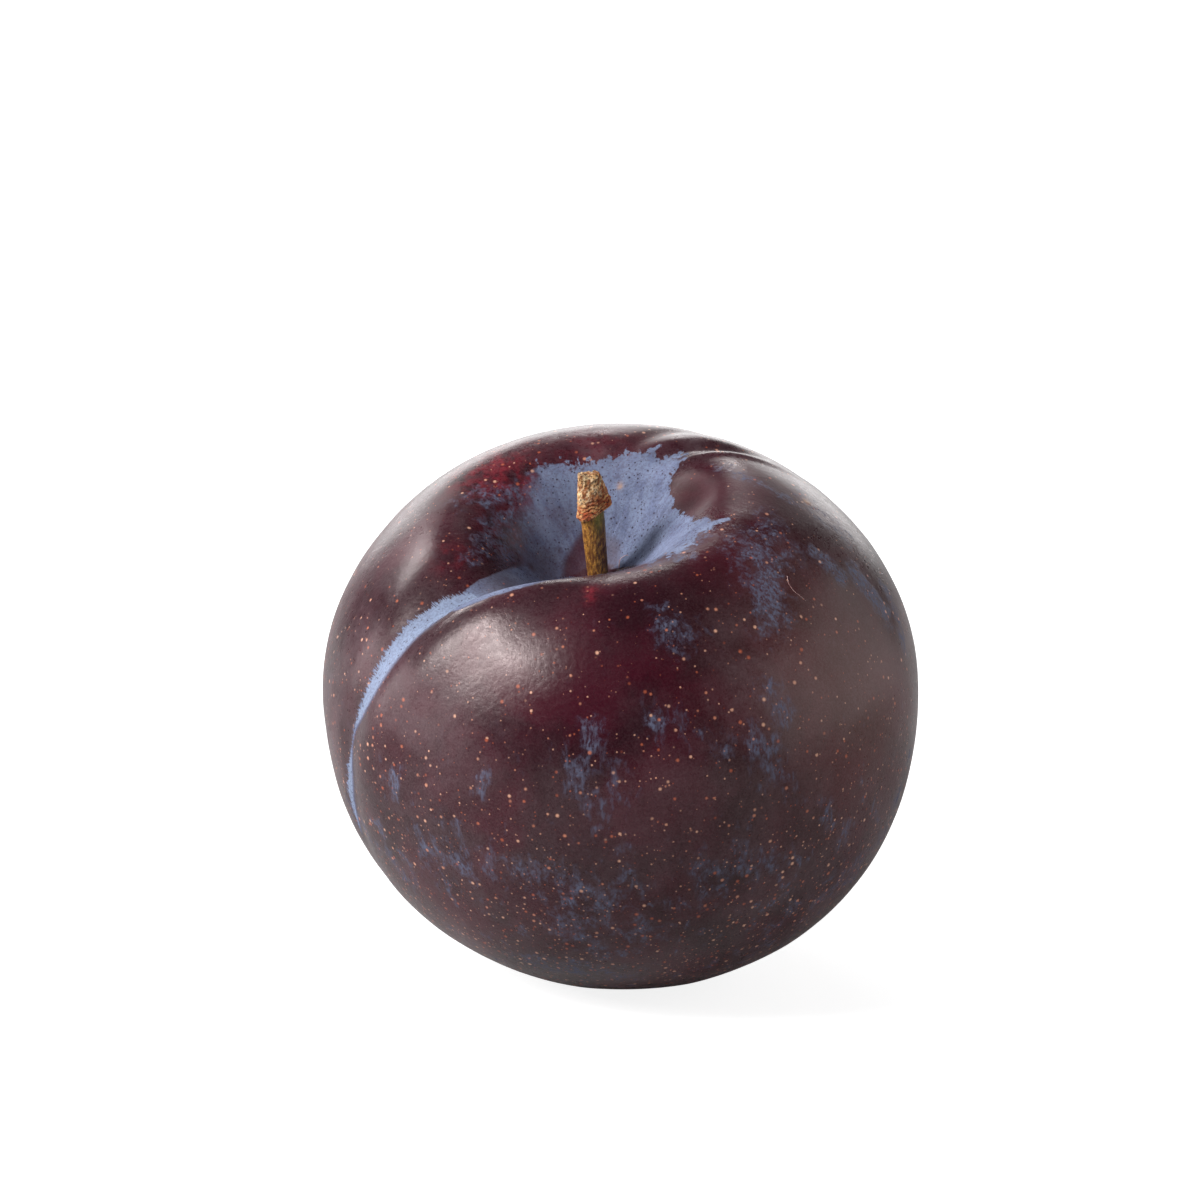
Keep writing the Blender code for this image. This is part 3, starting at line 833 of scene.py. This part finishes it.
def plain_radius(height, around):
    above = above_collar(height, around)
    knob_height = STALK_LENGTH - COLLAR_HEIGHT
    slender = STALK_RADIUS * (1.0 + 0.13 * smooth_step(2.0 * MM, COLLAR_HEIGHT, height))
    to_tip = smooth_step(0.25 * knob_height, 1.1 * knob_height, above)
    knob = KNOB_RADIUS + (KNOB_TIP_RADIUS - KNOB_RADIUS) * to_tip
    knob = knob * (1.0 + 0.05 * np.cos(3.0 * around + 0.6))
    flare = COLLAR_STANDS_OUT * bell(above - 0.3 * MM, 0.4 * MM) * (1.0 + 0.4 * np.cos(4.0 * around + 1.0))
    return slender + (knob - slender) * smooth_step(-0.12 * MM, 0.12 * MM, above) + flare


def wander(height, around, along_mm, across, seed):
    """Smooth noise from -1 to 1: how many mm a wave is along the stalk, and how many waves go across it."""
    places = zip(across * np.cos(around), across * np.sin(around) + seed, height / (along_mm * MM))
    return np.array([noise.noise(place) for place in places])


def on_rings(along_mm, across, seed):
    return wander(ring_heights, ring_turns, along_mm, across, seed)


# %% Rings of the stalk, with folds, cracks and fibres
STALK_SIDES, STALK_RINGS = 96, 210
FOLD_DEPTH, CRACK_DEPTH, FIBRE_DEPTH, GRIT_DEPTH = 0.15 * MM, 0.10 * MM, 0.03 * MM, 0.05 * MM
FOLD_PITCH = 0.52 * MM

ring_heights = np.repeat(np.linspace(0.0, STALK_LENGTH, STALK_RINGS), STALK_SIDES)
ring_turns = np.tile(np.linspace(0.0, 2.0 * math.pi, STALK_SIDES, endpoint=False), STALK_RINGS)
above = above_collar(ring_heights, ring_turns)
on_knob = smooth_step(-0.1 * MM, 0.15 * MM, above)
folded = on_knob * (1.0 - smooth_step(0.55 * FOLDS_REACH, 1.15 * FOLDS_REACH, above))
slide = on_rings(2.4, 1.1, 5.0) + 0.35 * on_rings(0.8, 3.0, 7.0)
fold_phase = (above / FOLD_PITCH + 1.6 * slide) % 1.0
cracks = np.abs(on_rings(1.4, 2.6, 23.0)) * 2.0
grit = on_rings(0.32, 5.0, 31.0)
fibres = on_rings(1.8, 7.0, 43.0)
grain = on_rings(0.3, 9.0, 59.0)
fold_relief = FOLD_DEPTH * ((1.0 - fold_phase) ** 1.4 - 0.45)
knob_relief = CRACK_DEPTH * (np.minimum(cracks, 0.5) - 0.3)
relief = on_knob * (knob_relief * (1.0 - folded) + fold_relief * folded + GRIT_DEPTH * grit)
relief += (1.0 - on_knob) * FIBRE_DEPTH * (fibres + 0.5 * grain)
radii = plain_radius(ring_heights, ring_turns) + relief
tip = smooth_step(0.9 * STALK_LENGTH, STALK_LENGTH, ring_heights)
radii *= 1.0 - 0.07 * tip * (1.0 + fibres)
crowns = tip * (CROWNS * np.cos(2.0 * ring_turns) + CROWN_WANDERS * on_rings(3.0, 2.6, 71.0))
leaning = math.tan(math.radians(STALK_LEAN)) * ring_heights
leaning -= KNOB_SHIFT * on_knob * (1.0 - 1.6 * smooth_step(0.0, STALK_LENGTH - COLLAR_HEIGHT, above))
stalk_places = np.stack(
    [radii * np.cos(ring_turns) - leaning, radii * np.sin(ring_turns), ring_heights + crowns], axis=-1
)

# %% The broken end, and the whole stalk
TIP_RINGS, TIP_RING_GAP = 12, 0.1 * MM
TIP_ROUGH, TIP_DOME = 0.22 * MM, 0.12 * MM
last_ring = stalk_places[-STALK_SIDES:]
tip_middle = last_ring.mean(axis=0) + (0.0, 0.0, TIP_DOME)
tip_places = [stalk_places]
for step in range(1, TIP_RINGS):
    inward = step / TIP_RINGS
    ring = last_ring + (tip_middle - last_ring) * inward
    heights = np.full(STALK_SIDES, step * TIP_RING_GAP)
    rough = wander(heights, ring_turns[:STALK_SIDES], 0.3, 3.0 * (1.0 - inward), 83.0)
    ring[:, 2] += TIP_ROUGH * rough * (1.0 - inward) + TIP_DOME * math.sin(math.pi * inward)
    tip_places.append(ring)
stalk_places = np.concatenate([*tip_places, [(0.0, 0.0, 0.0), tip_middle]])
foot_place = np.array((-HOLLOW_LEFT, 0.0, CROWN_HEIGHT - HOLLOW_DEPTH - SOCKET_DEPTH + END_PLAY))
stalk_faces = grid_faces(STALK_RINGS + TIP_RINGS - 1, STALK_SIDES)
stalk = new_piece("plum_stalk", in_frame(stalk_places + foot_place), stalk_faces)
print("stalk:", len(stalk_places), "points,", 2 * len(stalk_faces), "triangles")

# %% Numbers on the stalk's points
def to_end(values, end):
    """The rings' own values, and one value for all the points of the broken end."""
    return np.concatenate([values, np.full(len(stalk_places) - len(ring_heights), end)])


# Painted shade: dark under each fold's step, in the knob's cracks and on the right of the broken rim, and a
# little over the broken end
dark_step = smooth_step(0.78, 0.98, fold_phase) * folded
dark_crack = (1.0 - smooth_step(0.02, 0.16, cracks)) * (1.0 - folded) * on_knob
upper_edge = smooth_step(0.965 * STALK_LENGTH, STALK_LENGTH, ring_heights)
dark_rim = upper_edge * smooth_step(-0.2, 0.6, np.cos(ring_turns))
crevice = np.maximum.reduce([dark_step, 0.8 * dark_crack, 0.7 * dark_rim])
give(
    stalk, knob=to_end(on_knob, 1.0), folded=to_end(folded, 0.0), crevice=to_end(crevice, 0.25),
    height=to_end(ring_heights / MM, STALK_LENGTH / MM), turned=to_end(np.cos(ring_turns), 0.0),
    level=to_end(above, STALK_LENGTH - COLLAR_HEIGHT), side_x=stalk_places[:, 0], side_y=stalk_places[:, 1],
)

# %% [markdown]
# Bark and stem share one material, because they grow into each other. The numbers kept above choose between
# them: pale ochre bark with painted shade in its cracks and under its folds, an orange-brown collar, then a
# stem that is green under the collar, ochre with fine upright streaks below it, and dark red-brown at its
# foot and as painted shade along its right side.

# %% The stalk's finish
CREAM, OCHRE, TAN = paint(255, 230, 186), paint(240, 184, 120), paint(176, 102, 56)
RUST, CRACK = paint(172, 74, 36), paint(52, 20, 12)
STEM_OCHRE, STEM_BROWN = paint(222, 156, 66), paint(116, 66, 24)
STEM_GREEN, STEM_RED = paint(136, 140, 44), paint(72, 22, 14)

material, tree, shader, place = new_material("stalk_bark")
along_stalk = vector_of(number_of("side_x"), number_of("side_y"), number_of("level"))
patchy = mottle(along_stalk, 1300.0, 0.38, 0.62, 0.4)
gritty = mottle(along_stalk, 4200.0, 0.36, 0.62)
layered = mottle(stretched(along_stalk, (0.3, 0.3, 1.5)), 3000.0, 0.4, 0.6, 0.3)
bark = over(patchy, TAN, OCHRE)
bark = over(times(mottle(along_stalk, 2400.0, 0.45, 0.6), 0.7), bark, CREAM)
collar = over(layered, RUST, over(patchy, TAN, OCHRE))
bark = over(number_of("folded"), bark, collar)
# Painted shade in the cracks, under the folds and on the right of the rim, then dark grit at random
bark = over(times(number_of("crevice"), 0.95), bark, CRACK)
bark = over(ramp(gritty, 0.0, 0.5, 0.75, 0.0), bark, CRACK)

streaky = mottle(stretched(along_stalk, (1.0, 1.0, 0.3)), 4600.0, 0.38, 0.62, 0.3)
stem = over(times(streaky, ramp(gritty, 0.0, 1.0, 0.5, 1.0)), STEM_BROWN, STEM_OCHRE)
green = times(ramp(number_of("height"), 7.4, 10.4), ramp(number_of("turned"), -0.3, 0.6), 0.7)
stem = over(green, stem, STEM_GREEN)
# Painted shade along the stem's right side, and darker red-brown towards its foot
right_side = times(ramp(number_of("turned"), 0.35, 0.95), 0.75)
low_down = times(ramp(number_of("height"), 5.0, 0.5), 0.7)
reddish = sums("MAXIMUM", right_side, low_down)
stem = over(times(reddish, ramp(streaky, 0.0, 1.0, 1.0, 0.7)), stem, STEM_RED)
connect(over(number_of("knob"), stem, bark), shader.inputs["Base Color"])
connect(ramp(number_of("knob"), 0.0, 1.0, 0.5, 0.85), shader.inputs["Roughness"])
grainy = sums("ADD", gritty, times(streaky, 0.6))
bump = add("ShaderNodeBump", {"Height": grainy, "Distance": 0.05 * MM, "Strength": 0.8})
connect(bump.outputs["Normal"], shader.inputs["Normal"])
stalk.data.materials.append(material)

# %% [markdown]
# Two scraps lie on the fruit: a curled dry fibre that stands on the lip of the hollow, and a fine hair on
# the right shoulder. Each is a tapering tube along a few points. They could be left out, but a real fruit
# that was picked and handled is never quite clean.

# %% Tubes for the fibre and the hair
TUBE_SIDES, TUBE_STEPS = 8, 40


def smooth_line(points, steps):
    """Points spaced evenly along a smooth curve through the given ones."""
    fine = np.linspace(0, len(points) - 1, steps)
    slopes = np.gradient(points, axis=0)
    low = np.minimum(fine.astype(int), len(points) - 2)
    t = (fine - low)[:, None]
    first, last = points[low], points[low + 1]
    return (
        first * (2 * t**3 - 3 * t**2 + 1) + last * (3 * t**2 - 2 * t**3)
        + slopes[low] * (t**3 - 2 * t**2 + t) + slopes[low + 1] * (t**3 - t**2)
    )


def tube(name, points, radius):
    line = smooth_line(np.array(points), TUBE_STEPS)
    ahead_of = np.gradient(line, axis=0)
    ahead_of /= np.linalg.norm(ahead_of, axis=1, keepdims=True)
    side = np.cross(ahead_of, np.array(view_right) + 0.3)
    side /= np.linalg.norm(side, axis=1, keepdims=True)
    other = np.cross(ahead_of, side)
    places = []
    for step, middle in enumerate(line):
        taper = radius * (1.0 - 0.6 * step / TUBE_STEPS)
        for turn in np.linspace(0.0, 2.0 * math.pi, TUBE_SIDES, endpoint=False):
            places.append(middle + taper * (math.cos(turn) * side[step] + math.sin(turn) * other[step]))
    faces = []
    for i in range(TUBE_STEPS - 1):
        here, above = i * TUBE_SIDES, (i + 1) * TUBE_SIDES
        for j in range(TUBE_SIDES):
            k = (j + 1) % TUBE_SIDES
            faces.append((here + j, here + k, above + k, above + j))
    faces.append(tuple(reversed(range(TUBE_SIDES))))
    faces.append(tuple((TUBE_STEPS - 1) * TUBE_SIDES + j for j in range(TUBE_SIDES)))
    return new_piece(name, places, faces)


# %% The curled fibre and the fine hair
FIBRE_FOOT = (619, 567)
FIBRE_CURL = (  # mm to the right and up, as the camera sees it
    (0.0, -0.1), (0.02, 0.4), (0.15, 0.8), (0.5, 1.08), (0.85, 1.18), (0.96, 1.0), (0.98, 0.78),
)
FIBRE_RADIUS, HAIR_RADIUS = 0.055 * MM, 0.028 * MM
HAIR_PIXELS = ((787, 576), (789, 584), (794, 591), (800, 596), (806, 601))

to_right, to_top = MM * np.array(view_right), MM * np.array(view_up)
curl = [on_skin(FIBRE_FOOT) + across * to_right + up * to_top for across, up in FIBRE_CURL]
curled_fibre = tube("curled_fibre", curl, FIBRE_RADIUS)
hair_line = [on_skin(pixel) - HAIR_RADIUS * np.array(aim) for pixel in HAIR_PIXELS]
fine_hair = tube("fine_hair", hair_line, HAIR_RADIUS)
print("fibre and hair:", len(curled_fibre.data.polygons) + len(fine_hair.data.polygons), "faces")
material, tree, shader, place = new_material("dry_fibre")
fibre_tint = mottle(place, 2500.0, 0.35, 0.65)
connect(over(fibre_tint, paint(176, 130, 128), paint(214, 184, 180)), shader.inputs["Base Color"])
shader.inputs["Roughness"].default_value = 0.6
curled_fibre.data.materials.append(material)
fine_hair.data.materials.append(material)

# %% [markdown]
# The studio is a pale floor with soft boxes where the highlights on the fruit need them: two small ones high
# at the front left, wider ones low on the left, on the right and behind, and small ones behind the left cheek
# and over the gathered skin. The floor has to stay white without throwing much light up on dark skin, so it
# is a mid grey that glows for the camera alone, with four lamps turned away from the fruit. The world is a
# little lighter near the horizon than overhead, as in a studio with white walls, which lifts the fruit's rim.

# %% The floor
FLOOR_REACH = 6.0
PAPER_DARK, PAPER_PALE = (0.44, 0.44, 0.44), (0.46, 0.46, 0.46)
FLOOR_GLOW = 0.85  # the camera alone sees it, so it isn't mirrored in the fruit
corners = [(-1, -1), (1, -1), (1, 1), (-1, 1)]
floor = new_piece("floor", [(FLOOR_REACH * x, FLOOR_REACH * y, 0.0) for x, y in corners], [(0, 1, 2, 3)])
material, tree, shader, place = new_material("floor")
paper = mottle(place, 400.0, 0.2, 0.8)
connect(over(paper, PAPER_DARK, PAPER_PALE), shader.inputs["Base Color"])
shader.inputs["Roughness"].default_value = 0.95
shader.inputs["Emission Color"].default_value = (1.0, 1.0, 1.0, 1.0)
seen_directly = add("ShaderNodeLightPath", {}).outputs["Is Camera Ray"]
connect(times(seen_directly, FLOOR_GLOW), shader.inputs["Emission Strength"])
floor.data.materials.append(material)
floor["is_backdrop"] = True

# %% The world
WALL_LIGHT, CEILING_LIGHT = 0.12, 0.015
WALL_TOP, CEILING_STARTS = math.sin(math.radians(8.0)), math.sin(math.radians(34.0))
world = bpy.data.worlds.new("studio")
world.use_nodes = True
tree = world.node_tree
direction = add("ShaderNodeTexCoord", {}).outputs["Generated"]
upward = add("ShaderNodeSeparateXYZ", {0: direction}).outputs["Z"]
light = ramp(upward, WALL_TOP, CEILING_STARTS, WALL_LIGHT, CEILING_LIGHT)
connect(light, tree.nodes["Background"].inputs["Strength"])
scene.world = world

# %% The lamps
def lamp(name, place, facing, width, height, power):
    light = bpy.data.lights.new(name, "AREA")
    light.shape = "RECTANGLE"
    light.size, light.size_y, light.energy = width, height, power
    stand = bpy.data.objects.new(name, light)
    scene.collection.objects.link(stand)
    stand.location = place
    stand.rotation_euler = (-facing).to_track_quat("Z", "Y").to_euler()


def towards(azimuth, elevation):
    """The direction of a place seen from the fruit: azimuth 0 is the front, 90 the right."""
    a, e = math.radians(azimuth), math.radians(elevation)
    return Vector((math.sin(a) * math.cos(e), -math.cos(a) * math.cos(e), math.sin(e)))


SOFT_BOXES = {  # azimuth, elevation, distance, width, height in metres, power in watts
    "key": (-57.0, 41.0, 0.7, 0.14, 0.13, 3.0),
    "key, low": (-67.0, 28.0, 0.7, 0.13, 0.16, 2.1),
    "left": (-92.0, 6.0, 0.7, 0.60, 0.26, 1.6),
    "behind left": (-130.0, 39.0, 0.7, 0.22, 0.18, 1.8),
    "right": (90.0, 16.0, 0.7, 1.00, 0.50, 2.5),
    "back": (180.0, 12.0, 0.9, 1.00, 0.40, 3.6),
    "pleats": (178.0, 36.0, 0.9, 0.24, 0.14, 1.0),
}
for name, (azimuth, elevation, distance, width, height, power) in SOFT_BOXES.items():
    away = towards(azimuth, elevation)
    lamp(name, RING_MIDDLE + away * distance, -away, width, height, power)
FLOOR_LAMPS, FLOOR_LAMP_POWER, FLOOR_LAMP_OUT, FLOOR_LAMP_HEIGHT = 4, 2.0, 0.45, 0.65
FLOOR_LAMP_WIDE, FLOOR_LAMP_HIGH, FLOOR_LAMP_DIPS = 0.8, 0.3, 0.75
for index in range(FLOOR_LAMPS):
    outward = towards(360.0 * index / FLOOR_LAMPS, 0.0)
    place = outward * FLOOR_LAMP_OUT + Vector((0.0, 0.0, FLOOR_LAMP_HEIGHT))
    facing = outward - Vector((0.0, 0.0, FLOOR_LAMP_DIPS))
    lamp(f"floor_lamp_{index}", place, facing, FLOOR_LAMP_WIDE, FLOOR_LAMP_HIGH, FLOOR_LAMP_POWER)
print("lamps:", len(SOFT_BOXES) + FLOOR_LAMPS)
scene.view_settings.view_transform = "Standard"

# %% Put the pieces on the model
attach(plum_skin, "root")
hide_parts("fruit")
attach(stalk, "root")
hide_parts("stalk")
for piece in (curled_fibre, fine_hair):
    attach(piece, "root")

visual_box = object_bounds()
grown = [round((visual_box[i][k] - cad_box[i][k]) / MM, 2) for i in (0, 1) for k in range(3)]
print("grown by, in mm:", grown)
